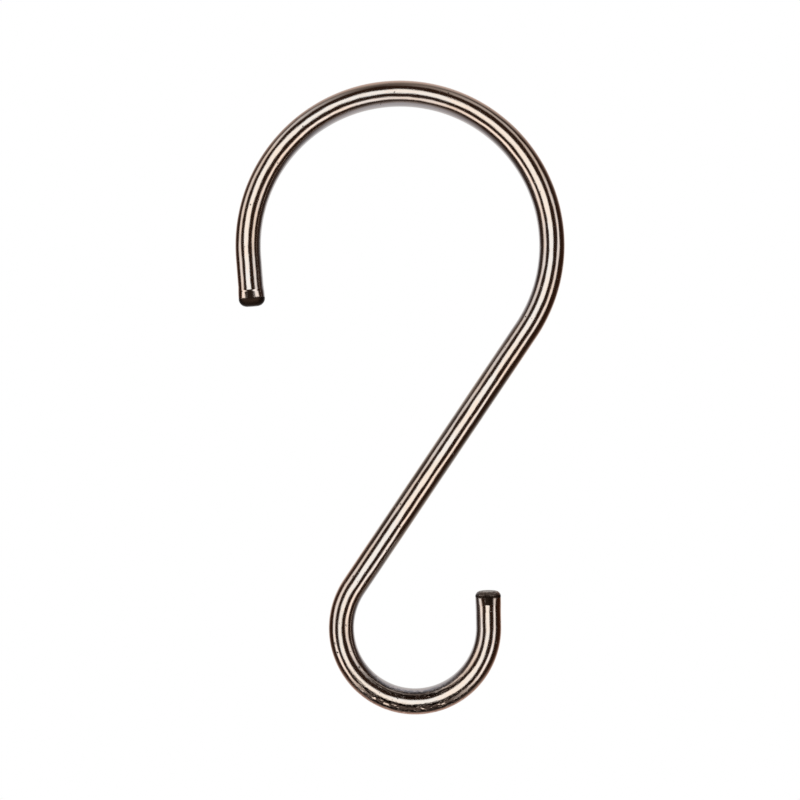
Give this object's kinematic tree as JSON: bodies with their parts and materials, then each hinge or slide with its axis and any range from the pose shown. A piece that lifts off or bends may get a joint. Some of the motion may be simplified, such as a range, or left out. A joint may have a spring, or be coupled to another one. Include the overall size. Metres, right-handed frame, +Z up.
{
  "type": "shower curtain hook",
  "caption": "S-shaped wire hook that hangs on a shower rod by its large open bend and carries the curtain's eyelet in its small open bend.",
  "frame": {"origin": "rod seat: the underside of the large bend's crown, where the hook hangs on its rod", "axes": "+Z up as the hook hangs, X in the plane of the hook with the large bend's tip towards -X and the small bend's tip towards +X, Y through the wire with the front towards -Y"},
  "size_m": [0.0416, 0.0032, 0.08],
  "materials": {
    "bronze_plate": "polished"
  },
  "bodies": {
    "root": {"hook": "bronze_plate"}
  },
  "joints": []
}
